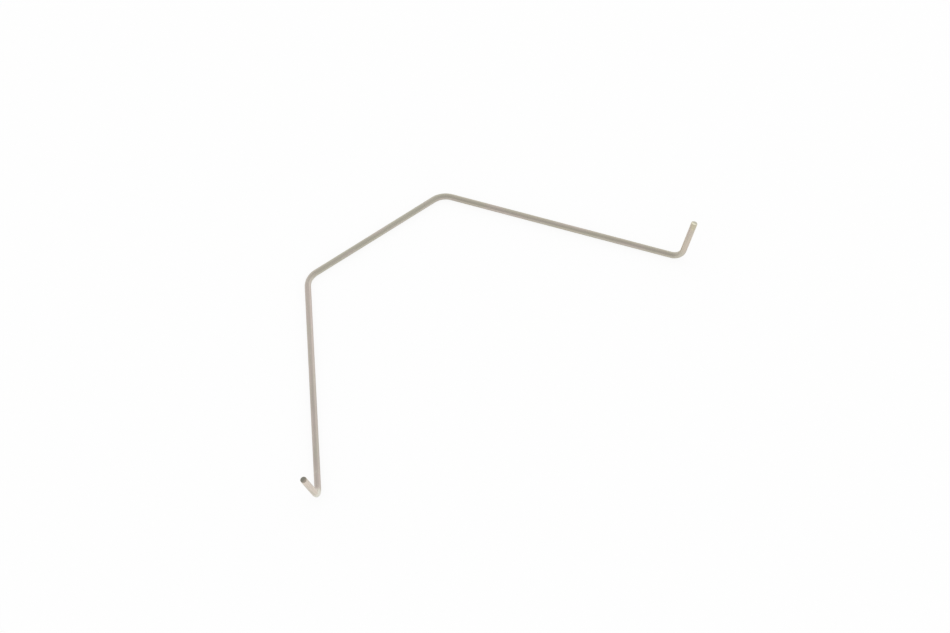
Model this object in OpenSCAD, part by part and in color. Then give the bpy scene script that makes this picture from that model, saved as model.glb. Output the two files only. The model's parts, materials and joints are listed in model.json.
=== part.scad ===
// Brake pad spring: one length of round spring wire, bent at four places.
// A straight crown runs into two straight legs that open outwards, and each
// leg ends in a short hook that drops into a hole in a pad's backing plate.
// The spring lies on its flat side. X runs along the crown, the legs reach
// towards -Y, the hooks stand up along Z, and the origin is below the middle.

/* [Wire] */
// Diameter of the drawn wire
wire_d = 1.6; // [1:0.1:2.2]
// Chamfer round each cut end
end_chamfer = 0.1; // [0.05:0.05:0.3]
// Loss of diameter where the wire is bent
bend_thinning = 0.03; // [0.02:0.01:0.1]

/* [Crown] */
// Length of the crown, between the corners of its centre line
crown_length = 43; // [30:0.5:80]
// Angle that each leg turns away from the crown's line
leg_angle = 56.4; // [35:0.2:75]
// Radius inside the bend at each end of the crown
crown_bend_r = 4.3; // [2:0.1:8]

/* [Legs] */
// Length of each leg, between the corners of its centre line
leg_length = 64.2; // [40:0.1:90]

/* [Hooks] */
// Length of each hook, from the corner of its centre line to the cut end
hook_length = 12.1; // [8:0.1:20]
// Lean of each hook, outwards from upright
hook_lean = 16.8; // [0:0.1:30]
// Radius inside the bend between a leg and its hook
hook_bend_r = 2.2; // [1:0.1:4]

/* [Hidden] */

$fn = 64;

// The hook leaves the leg's own plane, so its bend is worked out as a wire
// former sets it: how far the wire turns about its length, and then bends.
hook_turn = atan2(-cos(hook_lean), -sin(hook_lean) * sin(leg_angle));
hook_bend = acos(sin(hook_lean) * cos(leg_angle));

// How much of each side of a corner its bend takes up
crown_setback = setback(crown_bend_r, leg_angle);
hook_setback = setback(hook_bend_r, hook_bend);

// How far a bend's thinner wire is seated in the full wire beyond its ends
bend_seat = 0.1;

// What is left straight between the bends
crown_run = crown_length - 2 * crown_setback;
leg_run = leg_length - crown_setback - hook_setback;
hook_run = hook_length - hook_setback - end_chamfer;

// The legs' reach from the crown's line, halved about the origin
crown_y = leg_length * sin(leg_angle) / 2;

function centre_line_r(inner_r) = inner_r + wire_d / 2;
function setback(inner_r, angle) = centre_line_r(inner_r) * tan(angle / 2);

// Straight wire along Z, and what follows it
module run(length) {
    cylinder(d = wire_d, h = length);
    translate([0, 0, length])
        children();
}

// Wire bent from Z towards X, and what follows it
module bend(angle, inner_r) {
    r = centre_line_r(inner_r);
    seat_angle = atan(bend_seat / r);
    translate([r, 0, 0]) {
        rotate([90, 0, 180])
            rotate([0, 0, -seat_angle])
                rotate_extrude(angle = angle + 2 * seat_angle)
                    translate([r, 0])
                        circle(d = wire_d - bend_thinning);
        rotate([0, angle, 0])
            translate([-r, 0, 0])
                children();
    }
}

// The cut end of the wire, with its edge broken
module cut_end() {
    cylinder(d1 = wire_d, d2 = wire_d - 2 * end_chamfer, h = end_chamfer);
}

// Lays wire that was built along Z down along X, so that it bends towards -Y
module laid_flat() {
    rotate([-90, 0, 0])
        rotate([0, 90, 0])
            children();
}

// A leg and its hook, from the crown's end on
module leg() {
    bend(leg_angle, crown_bend_r)
        run(leg_run)
            rotate([0, 0, hook_turn])
                bend(hook_bend, hook_bend_r)
                    run(hook_run)
                        cut_end();
}

// The crown leads on into one leg, and the other leg mirrors it at the
// crown's start
module spring_wire() {
    color([0.62, 0.61, 0.57])
        translate([-crown_run / 2, crown_y, wire_d / 2]) {
            laid_flat()
                run(crown_run)
                    leg();
            mirror([1, 0, 0])
                laid_flat()
                    leg();
        }
}

spring_wire();
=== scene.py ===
import json
import math
import bpy
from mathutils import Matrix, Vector


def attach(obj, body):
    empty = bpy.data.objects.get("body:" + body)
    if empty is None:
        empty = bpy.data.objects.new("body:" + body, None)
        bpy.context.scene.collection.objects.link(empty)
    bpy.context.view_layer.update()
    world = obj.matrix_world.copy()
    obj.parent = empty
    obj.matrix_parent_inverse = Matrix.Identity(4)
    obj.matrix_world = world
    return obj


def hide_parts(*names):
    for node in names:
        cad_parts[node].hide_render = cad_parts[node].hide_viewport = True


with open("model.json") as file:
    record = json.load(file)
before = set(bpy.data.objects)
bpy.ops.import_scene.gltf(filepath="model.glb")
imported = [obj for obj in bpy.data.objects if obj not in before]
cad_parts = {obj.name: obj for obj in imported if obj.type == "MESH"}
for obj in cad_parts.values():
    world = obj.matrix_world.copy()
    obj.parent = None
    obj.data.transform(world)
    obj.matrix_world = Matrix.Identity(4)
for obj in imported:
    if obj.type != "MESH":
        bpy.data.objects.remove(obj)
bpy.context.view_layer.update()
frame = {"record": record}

mm = 0.001
scene = bpy.context.scene
bpy.ops.object.select_all(action='DESELECT')
mounts = {mount["name"]: mount for mount in frame["record"]["mounts"]}
hookMount = mounts["right_hook"]


def feed(tree, socket, value):
    # the value is another node's output, or a constant
    if isinstance(value, bpy.types.NodeSocket):
        tree.links.new(value, socket)
    else:
        socket.default_value = value


def mathNode(tree, operation, *values, clamp=False):
    node = tree.nodes.new("ShaderNodeMath")
    node.operation = operation
    node.use_clamp = clamp
    for socket, value in zip(node.inputs, values):
        feed(tree, socket, value)
    return node.outputs[0]


def plus(tree, first, second):
    return mathNode(tree, 'ADD', first, second)


def minus(tree, first, second):
    return mathNode(tree, 'SUBTRACT', first, second)


def times(tree, first, second):
    return mathNode(tree, 'MULTIPLY', first, second)


def vectorNode(tree, operation, first, second):
    node = tree.nodes.new("ShaderNodeVectorMath")
    node.operation = operation
    feed(tree, node.inputs[0], first)
    feed(tree, node.inputs[1], second)
    return node.outputs["Value" if operation == 'DOT_PRODUCT' else "Vector"]


def scaledPlace(tree, place, scale, shift=(0, 0, 0), turn=(0, 0, 0)):
    node = tree.nodes.new("ShaderNodeMapping")
    feed(tree, node.inputs["Vector"], place)
    node.inputs["Scale"].default_value = scale
    node.inputs["Location"].default_value = shift
    node.inputs["Rotation"].default_value = [math.radians(angle) for angle in turn]
    return node.outputs[0]


def noiseValue(tree, place, scale=1.0, detail=2.0, roughness=0.5):
    node = tree.nodes.new("ShaderNodeTexNoise")
    feed(tree, node.inputs["Vector"], place)
    feed(tree, node.inputs["Scale"], scale)
    node.inputs["Detail"].default_value = detail
    node.inputs["Roughness"].default_value = roughness
    return node.outputs["Fac"]


def swing(tree, noise, amount):
    # a noise about its middle, to push an edge both ways
    return times(tree, minus(tree, noise, 0.5), amount)


def remap(tree, value, low, high, newLow=0.0, newHigh=1.0):
    # from one range to another, easing in and out, and level outside it
    node = tree.nodes.new("ShaderNodeMapRange")
    node.interpolation_type = 'SMOOTHSTEP'
    feed(tree, node.inputs["Value"], value)
    ends = {"From Min": low, "From Max": high, "To Min": newLow, "To Max": newHigh}
    for label, number in ends.items():
        node.inputs[label].default_value = number
    return node.outputs["Result"]


def mixColours(tree, amount, first, second):
    node = tree.nodes.new("ShaderNodeMix")
    node.data_type = 'RGBA'
    sockets = [socket for socket in node.inputs if socket.enabled]  # factor, first and second colour
    for socket, value in zip(sockets, (amount, first, second)):
        feed(tree, socket, value)
    return next(socket for socket in node.outputs if socket.enabled)


def newGroup(name, inputs, outputs):
    tree = bpy.data.node_groups.new(name, "ShaderNodeTree")
    for label, kind in inputs:
        tree.interface.new_socket(name=label, in_out='INPUT', socket_type=kind)
    for label, kind in outputs:
        tree.interface.new_socket(name=label, in_out='OUTPUT', socket_type=kind)
    groupIn = tree.nodes.new("NodeGroupInput")
    groupOut = tree.nodes.new("NodeGroupOutput")
    return tree, groupIn.outputs, groupOut.inputs


def placeGroup(tree, group, values):
    node = tree.nodes.new("ShaderNodeGroup")
    node.node_tree = group
    for label, value in values.items():
        feed(tree, node.inputs[label], value)
    return node.outputs


dieLineForm = {
    "detail": {"Hair": 2.0, "Streak": 3.0},
    "roughness": 0.6,
    "edges": (0.3, 0.7),  # of the noise, from none to full
}


def makeDieLines():
    # what the drawing die leaves: fine hair lines and broader streaks, both along the wire
    kinds = dieLineForm["detail"]
    sizes = [kind + size for kind in kinds for size in (" Length", " Width")]
    inputs = [("Place", 'NodeSocketVector')] + [(label, 'NodeSocketFloat') for label in sizes]
    outputs = [(kind + "s", 'NodeSocketFloat') for kind in kinds]
    tree, given, made = newGroup("dieLines", inputs, outputs)
    for kind, detail in kinds.items():
        along = mathNode(tree, 'DIVIDE', 1.0, given[kind + " Length"])
        across = mathNode(tree, 'DIVIDE', 1.0, given[kind + " Width"])
        stretch = tree.nodes.new("ShaderNodeCombineXYZ")
        for axis, value in zip("XYZ", (along, across, across)):
            feed(tree, stretch.inputs[axis], value)
        place = vectorNode(tree, 'MULTIPLY', given["Place"], stretch.outputs[0])
        noise = noiseValue(tree, place, detail=detail, roughness=dieLineForm["roughness"])
        feed(tree, made[kind + "s"], remap(tree, noise, *dieLineForm["edges"]))
    return tree


temperForm = {
    # how close the patches lie along and across the wire, where their noise starts, and its edges
    "Olive": {"scale": (170, 900, 900), "shift": (9.7, 0, 0), "edges": (0.44, 0.62)},
    "Rosy": {"scale": (120, 700, 700), "shift": (4.2, 2.1, 4.7), "edges": (0.46, 0.64)},
}


def makeTemperTint():
    # soft patches where the steel turns a little olive or a little rosy
    inputs = [("Color", 'NodeSocketColor'), ("Place", 'NodeSocketVector'), ("Amount", 'NodeSocketFloat')]
    inputs += [(tint, 'NodeSocketColor') for tint in temperForm]
    tree, given, made = newGroup("temperTint", inputs, [("Color", 'NodeSocketColor')])
    colour = given["Color"]
    for tint, form in temperForm.items():
        noise = noiseValue(tree, scaledPlace(tree, given["Place"], form["scale"], form["shift"]))
        patches = times(tree, remap(tree, noise, *form["edges"]), given["Amount"])
        colour = mixColours(tree, patches, colour, given[tint])
    feed(tree, made["Color"], colour)
    return tree


benchWearForm = {
    "detail": 1.0,
    "pitStretch": (0.4, 1, 1),         # drawn out along the wire
    "pitEdges": (0.68, 0.76),
    "scuffScale": (900, 11000, 9000),  # short and thin
    "scuffTurn": (0, 24, 31),          # degrees off the wire's own length
    "scuffEdges": (0.66, 0.75),
    "handledScale": 330.0,             # the patches that have scuffs
    "handledEdges": (0.5, 0.6),
}


def makeBenchWear():
    # pits of scale left in the skin, and short slanted scuffs from the parts bin
    form = benchWearForm
    inputs = [("Place", 'NodeSocketVector'), ("Pit Size", 'NodeSocketFloat')]
    outputs = [("Pits", 'NodeSocketFloat'), ("Scuffs", 'NodeSocketFloat')]
    tree, given, made = newGroup("benchWear", inputs, outputs)
    pitScale = mathNode(tree, 'DIVIDE', 1.0, given["Pit Size"])
    drawnOut = scaledPlace(tree, given["Place"], form["pitStretch"])
    speckle = noiseValue(tree, drawnOut, pitScale, form["detail"])
    feed(tree, made["Pits"], remap(tree, speckle, *form["pitEdges"]))
    slanted = scaledPlace(tree, given["Place"], form["scuffScale"], turn=form["scuffTurn"])
    scratch = remap(tree, noiseValue(tree, slanted, detail=form["detail"]), *form["scuffEdges"])
    patches = noiseValue(tree, given["Place"], form["handledScale"], form["detail"])
    handled = remap(tree, patches, *form["handledEdges"])
    feed(tree, made["Scuffs"], times(tree, scratch, handled))
    return tree


dieLines = makeDieLines()
temperTint = makeTemperTint()
benchWear = makeBenchWear()


def newMetal(name):
    # a metal of its own, and the wire's place from before it was bent, which its patterns follow
    material = bpy.data.materials.new(name)
    material.use_nodes = True
    tree = material.node_tree
    shader = tree.nodes["Principled BSDF"]
    shader.inputs["Metallic"].default_value = 1.0
    place = tree.nodes.new("ShaderNodeAttribute")
    place.attribute_name = "unbentPlace"
    apart = tree.nodes.new("ShaderNodeSeparateXYZ")
    feed(tree, apart.inputs[0], place.outputs["Vector"])
    return material, tree, shader, place.outputs["Vector"], apart.outputs


def addRelief(tree, shader, height, depth, strength):
    bump = tree.nodes.new("ShaderNodeBump")
    feed(tree, bump.inputs["Height"], height)
    bump.inputs["Distance"].default_value = depth
    bump.inputs["Strength"].default_value = strength
    feed(tree, shader.inputs["Normal"], bump.outputs["Normal"])


drawnSteelLook = {
    "steel": (0.61, 0.56, 0.465, 1),
    "streak": (0.54, 0.495, 0.41, 1),
    "olive": (0.577, 0.555, 0.463, 1),
    "rosy": (0.645, 0.56, 0.52, 1),
    "dusky": (0.555, 0.495, 0.455, 1),
    # the hooks: a rosy temper tint, made lighter as a painted reflection of the bright floor that they
    # mirror
    "leftHook": (0.83, 0.74, 0.645, 1),
    "rightHook": (0.70, 0.61, 0.51, 1),
    "straw": (0.67, 0.61, 0.452, 1),
    "rubbedAndHighlit": (0.85, 0.85, 0.75, 1),
    "pit": (0.22, 0.20, 0.165, 1),
    # how much of each covers what is below it
    "share": {"streak": 0.55, "olive": 0.75, "rosy": 0.75, "hook": 0.85,
              "temper": 0.55, "scuff": 0.6, "pit": 0.5},
    # where each colour holds, in millimetres along the wire from the crown's middle, right is plus
    "oliveReach": (12, 34),           # full, then none, both ways
    "rosyReach": (-16, -26),          # none, then full, on the left leg
    "duskyReach": (-40, -62),         # none, then full, further down that leg
    "leftHookReach": (-81.2, -86.5),  # none, then full, round each hook's bend
    "rightHookReach": (84, 89),
    "strawReach": (94.2, 95.2),       # none, then full, at the right hook's cut end
    # lines and pits, in millimetres
    "hairLine": (12, 0.05),           # length and width
    "streakLine": (20, 0.3),
    "pitSize": 0.07,
    "hairShade": (1.08, 0.17),        # brightness between the hair lines, and what they take off it
    # metal rubbed bright by tools, and on the left half a painted highlight as well
    "rubAndHighlightReach": (5, -12),             # the left half more: real rub there, plus a painted highlight where the light falls
    "rubAndHighlightShare": (0.15, 1.0),          # right of that reach, and left of it
    "rubHairs": (0.5, 0.45),          # between the hair lines, and what they add
    "rubGrain": (1600, 6500, 6500),   # the noise that makes its edges ragged
    "rubRagged": 0.6,
    "rubEdges": (0.12, 0.62),
    # roughness, and what each mark adds or takes off
    "rough": {"steel": 0.33, "streak": 0.10, "hair": 0.08, "bright": -0.10, "pit": 0.25},
    "hairDepth": 0.003,               # millimetres
    "pitDepth": 1.6,                  # times a hair line's
    "reliefStrength": 0.6,
}


def makeDrawnSteel():
    look = drawnSteelLook
    share = look["share"]
    reach = {key: [edge * mm for edge in look[key]] for key in look if key.endswith("Reach")}
    material, tree, shader, place, apart = newMetal("drawnSteel")
    along = apart["X"]
    worn = tree.nodes.new("ShaderNodeAttribute")
    worn.attribute_name = "toolWear"
    lines = placeGroup(tree, dieLines, {
        "Place": place,
        "Hair Length": look["hairLine"][0] * mm,
        "Hair Width": look["hairLine"][1] * mm,
        "Streak Length": look["streakLine"][0] * mm,
        "Streak Width": look["streakLine"][1] * mm,
    })
    wear = placeGroup(tree, benchWear, {"Place": place, "Pit Size": look["pitSize"] * mm})
    hairs, streaks, pits = lines["Hairs"], lines["Streaks"], wear["Pits"]
    # the steel and its streaks, then the temper: olive on the crown, rosy and then dusky down the
    # left leg, and straw where the right one was cut; the hooks paler: rosy temper plus a painted floor
    # reflection
    colour = mixColours(tree, times(tree, streaks, share["streak"]), look["steel"], look["streak"])
    eitherWay = mathNode(tree, 'ABSOLUTE', along)
    onCrown = remap(tree, eitherWay, *reach["oliveReach"], share["olive"], 0.0)
    colour = mixColours(tree, onCrown, colour, look["olive"])
    furtherDown = remap(tree, along, *reach["duskyReach"])
    legColour = mixColours(tree, furtherDown, look["rosy"], look["dusky"])
    onLeftLeg = remap(tree, along, *reach["rosyReach"], 0.0, share["rosy"])
    colour = mixColours(tree, onLeftLeg, colour, legColour)
    # paler hooks: a painted reflection of the bright floor, over a rosy temper tint
    for hook in ("leftHook", "rightHook"):
        onHook = remap(tree, along, *reach[hook + "Reach"], 0.0, share["hook"])
        colour = mixColours(tree, onHook, colour, look[hook])
    colour = mixColours(tree, remap(tree, along, *reach["strawReach"]), colour, look["straw"])
    tinted = placeGroup(tree, temperTint, {
        "Color": colour,
        "Place": place,
        "Amount": share["temper"],
        "Olive": look["olive"],
        "Rosy": look["rosy"],
    })
    between, darker = look["hairShade"]
    shade = minus(tree, between, times(tree, hairs, darker))
    lined = vectorNode(tree, 'MULTIPLY', tinted["Color"], shade)
    # brighter metal where tools wore it, fuller on the left half as a painted highlight, with ragged
    # edges, and along the scuffs, dark in the pits
    ragged = swing(tree, noiseValue(tree, scaledPlace(tree, place, look["rubGrain"])), look["rubRagged"])
    ragged = plus(tree, worn.outputs["Fac"], ragged)
    between, brighter = look["rubHairs"]
    rubbedHairs = plus(tree, between, times(tree, hairs, brighter))
    rubbedAndHighlit = times(tree, remap(tree, ragged, *look["rubEdges"]), rubbedHairs)
    # fuller on the left half: real tool rub plus a painted highlight of the light falling on the left
    # bends
    rubbedAndHighlit = times(tree, rubbedAndHighlit, remap(tree, along, *reach["rubAndHighlightReach"], *look["rubAndHighlightShare"]))
    scuffed = times(tree, wear["Scuffs"], share["scuff"])
    bright = mathNode(tree, 'MAXIMUM', rubbedAndHighlit, scuffed, clamp=True)
    colour = mixColours(tree, bright, lined, look["rubbedAndHighlit"])
    colour = mixColours(tree, times(tree, pits, share["pit"]), colour, look["pit"])
    feed(tree, shader.inputs["Base Color"], colour)
    # satin, smoother where rubbed, dull in the pits
    rough = look["rough"]
    grooved = plus(tree, times(tree, streaks, rough["streak"]), times(tree, hairs, rough["hair"]))
    roughness = plus(tree, rough["steel"], grooved)
    roughness = plus(tree, roughness, times(tree, bright, rough["bright"]))
    roughness = plus(tree, roughness, times(tree, pits, rough["pit"]))
    feed(tree, shader.inputs["Roughness"], roughness)
    relief = minus(tree, hairs, times(tree, pits, look["pitDepth"]))
    addRelief(tree, shader, relief, look["hairDepth"] * mm, look["reliefStrength"])
    return material


cutSteelLook = {
    "torn": (0.37, 0.37, 0.32, 1),
    "grain": (0.27, 0.265, 0.225, 1),
    "greenish": (0.34, 0.36, 0.28, 1),
    "brownish": (0.40, 0.34, 0.29, 1),
    "scorched": (0.54, 0.46, 0.38, 1),   # the left end's smear
    "burnishedAndHighlit": (0.80, 0.76, 0.60, 1),  # and the right end's: a burnished smear with a painted highlight
    # the side that the shear's blade came in from, where torn turns to smeared on the way to it,
    # in millimetres, and how much smear lies on the torn part and on the other
    "left": {"blade": (0, -0.84, -0.54), "edge": (0.0, 0.45), "smear": (0.1, 0.75)},
    "right": {"blade": (0, -0.91, 0.42), "edge": (-0.15, 0.3), "smear": (0.5, 0.9)},
    "ragged": 0.3,                       # how far that edge strays, in millimetres
    "temperShare": 0.4,
    "grainSize": 0.07,
    "grainDetail": 4.0,
    "grainRoughness": 0.7,
    "grainEdges": (0.42, 0.62),          # of its noise, from dark grain to torn steel
    "pitSize": 0.12,
    "pitShare": 0.5,
    "roughness": 0.42,
    "smearSmooths": 0.16,                # what the smear takes off the roughness
    "grainDepth": 0.02,
    "smearFlattens": 0.7,                # and off the grain's depth
    "reliefStrength": 0.5,
}


def makeCutSteel():
    look = cutSteelLook
    material, tree, shader, place, apart = newMetal("cutSteel")
    wear = placeGroup(tree, benchWear, {"Place": place, "Pit Size": look["pitSize"] * mm})
    grainScale = 1 / (look["grainSize"] * mm)
    grain = noiseValue(tree, place, grainScale, look["grainDetail"], look["grainRoughness"])
    # the blade smears the side that it comes in from, and the rest tears off
    smears = []
    for end in (look["left"], look["right"]):
        towards = vectorNode(tree, 'DOT_PRODUCT', place, end["blade"])
        ragged = plus(tree, towards, swing(tree, grain, look["ragged"] * mm))
        smears.append(remap(tree, ragged, *[edge * mm for edge in end["edge"]], *end["smear"]))
    isRight = mathNode(tree, 'GREATER_THAN', apart["X"], 0.0)
    isLeft = minus(tree, 1.0, isRight)
    smear = plus(tree, times(tree, smears[0], isLeft), times(tree, smears[1], isRight))
    # the right end's smear is a burnished finish lightened by a painted highlight
    smeared = mixColours(tree, isRight, look["scorched"], look["burnishedAndHighlit"])
    torn = mixColours(tree, remap(tree, grain, *look["grainEdges"]), look["grain"], look["torn"])
    tinted = placeGroup(tree, temperTint, {
        "Color": torn,
        "Place": place,
        "Amount": look["temperShare"],
        "Olive": look["greenish"],
        "Rosy": look["brownish"],
    })
    colour = mixColours(tree, smear, tinted["Color"], smeared)
    colour = mixColours(tree, times(tree, wear["Pits"], look["pitShare"]), colour, look["grain"])
    feed(tree, shader.inputs["Base Color"], colour)
    roughness = minus(tree, look["roughness"], times(tree, smear, look["smearSmooths"]))
    feed(tree, shader.inputs["Roughness"], roughness)
    relief = times(tree, grain, minus(tree, 1.0, times(tree, smear, look["smearFlattens"])))
    addRelief(tree, shader, relief, look["grainDepth"] * mm, look["reliefStrength"])
    return material


drawnSteel = makeDrawnSteel()
cutSteel = makeCutSteel()
print("finishes made")

# half of the spring wire is drawn out straight along X, worked, bent twice and mirrored
wire = {
    "radius": hookMount["dims"]["r_mm"] * mm,
    "crownLength": 43.0 * mm,     # between the corners of its centre line
    "crownBendRadius": 5.1 * mm,  # of the centre line
    "hookRun": hookMount["dims"]["length_mm"] * mm,
    "sides": 48,
    "straightStep": 1.0 * mm,     # between rings on a straight
    "bendRings": 24,
    "ringGap": 0.02 * mm,         # vertices this close along the wire are in one ring
    "mirrorGap": 0.002 * mm,      # this close, they are joined where the halves meet
    "doubleGap": 0.001 * mm,      # and this close, anywhere
    "smoothAngle": 40,            # degrees
    # the cut end's rolled edge, each ring's place along it and inwards as shares of its chamfer
    "cutEdge": 0.1 * mm,
    "edgeRings": ((0.10, 0.02), (0.30, 0.12), (0.70, 0.52), (0.88, 0.80), (0.92, 1.00)),
    # and its face, each ring's share of the face and how much deeper it lies than the one before
    "faceRings": ((0.84, 0.004 * mm), (0.66, 0.012 * mm), (0.48, 0.008 * mm), (0.30, 0.004 * mm),
                  (0.14, 0.0)),
    # what tools did: share of thickness lost, rub on the pressed sides, and film flaked off all round
    "crownWork": {"squash": 0.012, "rub": 0.45, "flaked": 0.18},
    "hookWork": {"squash": 0.025, "rub": 0.8, "flaked": 0.7},
    "gripWork": {"squash": 0.015, "rub": 0.35, "flaked": 0.0},
    "leastSquash": 0.0005,        # rings that lose less are left round
    "rubFocus": 4,                # higher keeps the rub closer to the pressed sides
    "workBefore": 0.4 * mm,       # how far a bend's wear starts before it
    "workAfter": 2.2 * mm,        # and runs on past it
    "gripGap": 2.6 * mm,          # from a bend to where the jaw gripped the wire
    "gripLength": 2.2 * mm,
}


def wireRoute():
    # the corners of the centre line, from the hook's mount and the crown's length
    radius = wire["radius"]
    hookWay = Vector(hookMount["axis"]).normalized()
    hookMiddle = Vector(hookMount["pos_m"])
    hookCorner = hookMiddle - hookWay * ((hookMiddle.z - radius) / hookWay.z)
    crownCorner = Vector((wire["crownLength"] / 2, -hookCorner.y, radius))
    leg = hookCorner - crownCorner
    legSide = Vector((-leg.y, leg.x, 0)).normalized()  # +Y of the straight wire, once the crown is bent
    crownTurn = Vector((1, 0, 0)).angle(leg)
    hookTurn = leg.angle(hookWay)
    hookRoll = math.atan2(hookWay.z, hookWay.dot(legSide))
    crownSetback = wire["crownBendRadius"] * math.tan(crownTurn / 2)
    hookSetback = (hookMiddle - hookCorner).length - wire["hookRun"] / 2
    hookBendRadius = hookSetback / math.tan(hookTurn / 2)
    stretches = [
        wire["crownLength"] / 2 - crownSetback,
        wire["crownBendRadius"] * crownTurn,
        leg.length - crownSetback - hookSetback,
        hookBendRadius * hookTurn,
        wire["hookRun"],
    ]
    starts = [sum(stretches[:i]) for i in range(len(stretches) + 1)]
    return {
        "starts": starts,
        "crownY": crownCorner.y,
        # a bend's roll is the way that it goes, round the wire from +Y
        "crownBend": {"from": starts[1], "to": starts[2], "turn": crownTurn, "roll": math.pi},
        "hookBend": {"from": starts[3], "to": starts[4], "turn": hookTurn, "roll": hookRoll},
    }


def workMarks(route):
    # where tools worked the wire: round each bend, and where the jaw gripped it just before that
    marks = []
    for bend, work in ((route["crownBend"], wire["crownWork"]), (route["hookBend"], wire["hookWork"])):
        start = bend["from"] - wire["workBefore"]
        end = bend["to"] + wire["workAfter"]
        marks.append({"from": start, "to": end, "roll": bend["roll"], **work})
        end = bend["from"] - wire["gripGap"]
        start = end - wire["gripLength"]
        marks.append({"from": start, "to": end, "roll": bend["roll"], **wire["gripWork"]})
    return marks


def ringPlaces(route):
    # closer together round the bends
    starts = route["starts"]
    places = []
    for i in range(len(starts) - 1):
        length = starts[i + 1] - starts[i]
        isBend = i % 2 == 1  # straights and bends take turns
        count = wire["bendRings"] if isBend else max(1, round(length / wire["straightStep"]))
        places += [starts[i] + length * (n + 1) / count for n in range(count)]
    return places


def selectWhere(mesh, keep):
    bpy.ops.mesh.select_all(action='DESELECT')
    bpy.ops.object.mode_set(mode='OBJECT')
    for vertex in mesh.vertices:
        vertex.select = keep(vertex.co)
    bpy.ops.object.mode_set(mode='EDIT')


def drawOut(rings):
    # one ring of the wire's own size, drawn along X ring by ring
    bpy.ops.mesh.primitive_circle_add(vertices=wire["sides"], radius=wire["radius"],
                                      fill_type='NOTHING', rotation=(0, math.pi / 2, 0))
    bpy.ops.object.transform_apply(location=True, rotation=True, scale=True)
    piece = bpy.context.object
    piece.name = "wire_spring"
    piece.data.name = "wire_spring"
    bpy.ops.object.mode_set(mode='EDIT')
    bpy.ops.mesh.select_mode(type='VERT')
    bpy.ops.mesh.select_all(action='SELECT')
    place = 0.0
    for ring in rings:
        bpy.ops.mesh.extrude_region_move(TRANSFORM_OT_translate={"value": (ring - place, 0, 0)})
        place = ring
    return piece


def extrudeRing(place, move, scale):
    bpy.ops.mesh.extrude_region_move(TRANSFORM_OT_translate={"value": (move, 0, 0)})
    bpy.ops.transform.resize(value=(1, scale, scale), center_override=(place + move, 0, 0))
    return place + move


def cutOff(place):
    # the cut's rolled edge, then the torn face in rings, with its middle sunk a little
    edge = wire["cutEdge"]
    size = wire["radius"]
    last = place
    for along, inwards in wire["edgeRings"]:
        newSize = wire["radius"] - edge * inwards
        last = extrudeRing(last, place + edge * along - last, newSize / size)
        size = newSize
    for share, sink in wire["faceRings"]:
        newSize = (wire["radius"] - edge) * share
        last = extrudeRing(last, -sink, newSize / size)
        size = newSize
    bpy.ops.mesh.edge_face_add()
    bpy.ops.mesh.poke()


def swell(place, mark):
    # 0 outside a mark, rising smoothly to 1 at its middle
    if not mark["from"] < place < mark["to"]:
        return 0.0
    return math.sin(math.pi * (place - mark["from"]) / (mark["to"] - mark["from"])) ** 2


def squeezeRings(mesh, rings, marks):
    # flattens each ring across the way that its bend goes, about the wire's own axis
    for ring in rings:
        for mark in marks:
            squash = mark["squash"] * swell(ring, mark)
            if squash < wire["leastSquash"]:
                continue
            centre = (ring, 0, 0)
            selectWhere(mesh, lambda co: abs(co.x - ring) < wire["ringGap"])
            bpy.ops.transform.rotate(value=mark["roll"], orient_axis='X', center_override=centre)
            bpy.ops.transform.resize(value=(1, 1 - squash, 1), center_override=centre)
            bpy.ops.transform.rotate(value=-mark["roll"], orient_axis='X', center_override=centre)


def wearAt(co, mark):
    # flaked all round, and rubbed on the two sides that the tool pressed
    facing = math.atan2(co.z, co.y)
    rub = mark["rub"] * math.cos(facing - mark["roll"]) ** wire["rubFocus"]
    return max(rub, mark["flaked"]) * swell(co.x, mark)


def markSurface(mesh, marks):
    # the straight wire's own coordinates, and how much tools wore each spot
    straight = mesh.attributes.new("unbentPlace", 'FLOAT_VECTOR', 'POINT')
    for vertex in mesh.vertices:
        straight.data[vertex.index].vector = vertex.co
    worn = mesh.attributes.new("toolWear", 'FLOAT', 'POINT')
    for vertex in mesh.vertices:
        worn.data[vertex.index].value = max(wearAt(vertex.co, mark) for mark in marks)


def bendWire(piece, bend):
    # a Simple Deform bend between the bend's two places, towards the side that its roll turns +Y to
    places = [vertex.co.x for vertex in piece.data.vertices]
    low = min(places)
    length = max(places) - low
    bpy.ops.object.select_all(action='DESELECT')
    bpy.ops.object.empty_add(location=(bend["from"], 0, 0), rotation=(bend["roll"], 0, 0))
    pivot = bpy.context.object
    bpy.ops.object.select_all(action='DESELECT')
    bpy.context.view_layer.objects.active = piece
    piece.select_set(True)
    bpy.ops.object.modifier_add(type='SIMPLE_DEFORM')
    deform = piece.modifiers[-1]
    deform.deform_method = 'BEND'
    deform.deform_axis = 'Z'
    deform.origin = pivot
    deform.angle = bend["turn"]
    deform.limits = [(place - low) / length for place in (bend["from"], bend["to"])]
    bpy.ops.object.modifier_apply(modifier=deform.name)
    bpy.data.objects.remove(pivot)


def mirrorWire(piece):
    bpy.ops.object.modifier_add(type='MIRROR')
    mirror = piece.modifiers[-1]
    mirror.use_axis = (True, False, False)
    mirror.use_mirror_merge = True
    mirror.merge_threshold = wire["mirrorGap"]
    bpy.ops.object.modifier_apply(modifier=mirror.name)
    bpy.ops.object.mode_set(mode='EDIT')
    bpy.ops.mesh.select_all(action='SELECT')
    bpy.ops.mesh.remove_doubles(threshold=wire["doubleGap"])
    bpy.ops.mesh.normals_make_consistent(inside=False)
    bpy.ops.object.mode_set(mode='OBJECT')
    straight = piece.data.attributes["unbentPlace"]
    for vertex in piece.data.vertices:
        if vertex.co.x < 0:
            straight.data[vertex.index].vector.x *= -1


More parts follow.
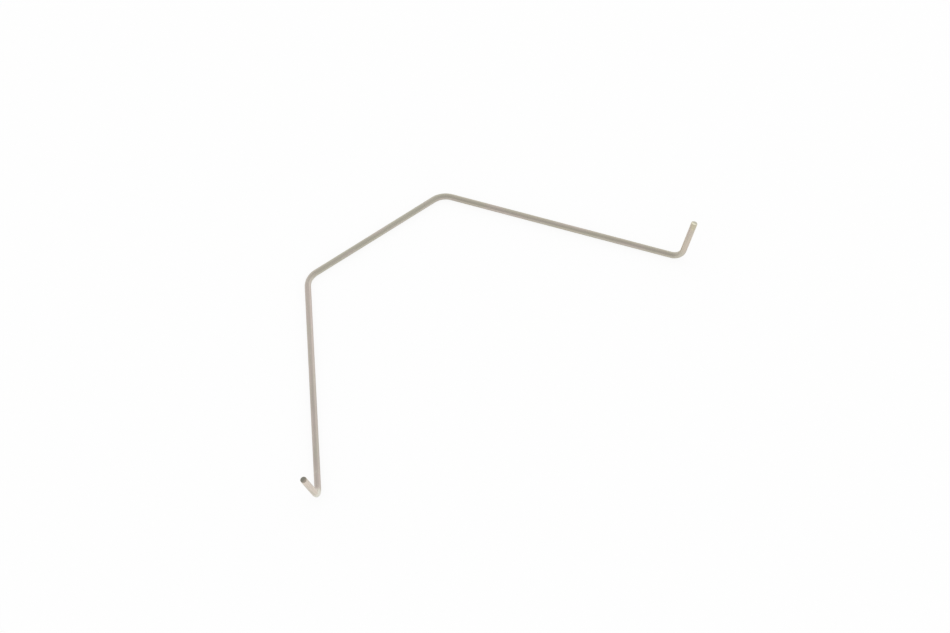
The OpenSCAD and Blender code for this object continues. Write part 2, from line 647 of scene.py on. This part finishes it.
def buildWire():
    route = wireRoute()
    marks = workMarks(route)
    rings = ringPlaces(route)
    piece = drawOut(rings)
    cutOff(rings[-1])
    squeezeRings(piece.data, rings, marks)
    bpy.ops.object.mode_set(mode='OBJECT')
    markSurface(piece.data, marks)
    piece.data.materials.append(drawnSteel)
    piece.data.materials.append(cutSteel)
    cutStart = rings[-1] + wire["cutEdge"] / 2
    for face in piece.data.polygons:
        face.material_index = 1 if face.center.x > cutStart else 0  # cut or drawn
    print("straight wire drawn and worked,", len(rings), "rings")
    # the outer bend first, while the wire up to it still lies along X
    bendWire(piece, route["hookBend"])
    bendWire(piece, route["crownBend"])
    bpy.ops.object.mode_set(mode='EDIT')
    bpy.ops.mesh.select_all(action='SELECT')
    bpy.ops.transform.translate(value=(0, route["crownY"], wire["radius"]))
    bpy.ops.object.mode_set(mode='OBJECT')
    mirrorWire(piece)
    bpy.ops.object.shade_smooth_by_angle(angle=math.radians(wire["smoothAngle"]))
    return piece


spring = buildWire()
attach(spring, "root")
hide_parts("spring_wire")
print("wire bent and mirrored,", len(spring.data.polygons), "faces")

stageLook = {
    "floorSize": 6.0,        # metres
    "paper": 0.93,           # the floor's own grey
    "shadowShare": 0.13,     # how much of the floor's own shading the camera keeps
    "mirroredShare": 0.5,    # and how much of it the steel mirrors
    "mirroredGlow": 0.86,    # the rest of the floor, as the steel mirrors it
    "roomLow": 0.79,         # the room that the steel mirrors, at the horizon
    "roomHigh": 0.61,        # and overhead
    "roomLean": (0.13, 0.11, 0.0),  # and how much lighter it is towards its far right
}


def grey(level):
    return (level, level, level, 1)


def rayKinds(tree):
    # 1 for camera rays, and 1 for the rays that show what metal or glass mirrors
    path = tree.nodes.new("ShaderNodeLightPath")
    glossy, through = path.outputs["Is Glossy Ray"], path.outputs["Is Transmission Ray"]
    return path.outputs["Is Camera Ray"], mathNode(tree, 'MAXIMUM', glossy, through)


def buildFloor():
    bpy.ops.mesh.primitive_plane_add(size=stageLook["floorSize"])
    floor = bpy.context.object
    floor.name = "studio_floor"
    material = bpy.data.materials.new("paperFloor")
    material.use_nodes = True
    tree = material.node_tree
    tree.nodes.remove(tree.nodes["Principled BSDF"])
    paper = tree.nodes.new("ShaderNodeBsdfDiffuse")
    paper.inputs["Color"].default_value = grey(stageLook["paper"])
    camera, mirrored = rayKinds(tree)
    glow = tree.nodes.new("ShaderNodeEmission")
    glowColour = mixColours(tree, mirrored, grey(1), grey(stageLook["mirroredGlow"]))
    feed(tree, glow.inputs["Color"], glowColour)
    glowSeen = times(tree, camera, 1 - stageLook["shadowShare"])
    glowMirrored = times(tree, mirrored, 1 - stageLook["mirroredShare"])
    mix = tree.nodes.new("ShaderNodeMixShader")
    feed(tree, mix.inputs[0], plus(tree, glowSeen, glowMirrored))
    feed(tree, mix.inputs[1], paper.outputs[0])
    feed(tree, mix.inputs[2], glow.outputs[0])
    feed(tree, tree.nodes["Material Output"].inputs["Surface"], mix.outputs[0])
    floor.data.materials.append(material)


def buildWorld():
    # white, but a greyer room for the rays that the steel mirrors
    world = bpy.data.worlds.new("studioWorld")
    scene.world = world
    world.use_nodes = True
    tree = world.node_tree
    way = tree.nodes.new("ShaderNodeTexCoord").outputs["Generated"]
    apart = tree.nodes.new("ShaderNodeSeparateXYZ")
    feed(tree, apart.inputs[0], way)
    height = mathNode(tree, 'MAXIMUM', apart.outputs["Z"], 0.0)
    low = stageLook["roomLow"]
    room = plus(tree, low, times(tree, height, stageLook["roomHigh"] - low))
    room = plus(tree, room, vectorNode(tree, 'DOT_PRODUCT', way, stageLook["roomLean"]))
    camera, mirrored = rayKinds(tree)
    background = tree.nodes["Background"]
    feed(tree, background.inputs["Color"], mixColours(tree, mirrored, grey(1), room))
    background.inputs["Strength"].default_value = 1.0


lamps = {
    "softboxRight": {"from": (0.95, 0.05, 0.30), "size": (0.9, 0.6), "watts": 0.45},  # metres
}


def buildLamps():
    for name, lamp in lamps.items():
        bpy.ops.object.light_add(type='AREA', location=lamp["from"])
        light = bpy.context.object
        light.name = name
        light.data.shape = 'RECTANGLE'
        light.data.size, light.data.size_y = lamp["size"]
        light.data.energy = lamp["watts"]
        light.rotation_euler = (-light.location).to_track_quat('-Z', 'Y').to_euler()


view = {
    "azimuth": -38.15,          # degrees, 0 looks along +Y
    "elevation": 55.396,
    "aim": (4.53, -8.79, 0.8),  # millimetres
    "distance": 601.1,
    "lens": 91.0,
    "clip": (0.01, 20.0),       # metres
}


def buildCamera():
    azimuth = math.radians(view["azimuth"])
    elevation = math.radians(view["elevation"])
    level = math.cos(elevation)
    back = Vector((math.sin(azimuth) * level, -math.cos(azimuth) * level, math.sin(elevation)))
    bpy.ops.object.camera_add(location=(Vector(view["aim"]) + back * view["distance"]) * mm)
    camera = bpy.context.object
    camera.rotation_euler = (-back).to_track_quat('-Z', 'Y').to_euler()
    camera.data.lens = view["lens"]
    camera.data.clip_start, camera.data.clip_end = view["clip"]
    scene.camera = camera


buildFloor()
buildWorld()
buildLamps()
buildCamera()
scene.view_settings.view_transform = 'Standard'
print("stage, lamps and camera set")
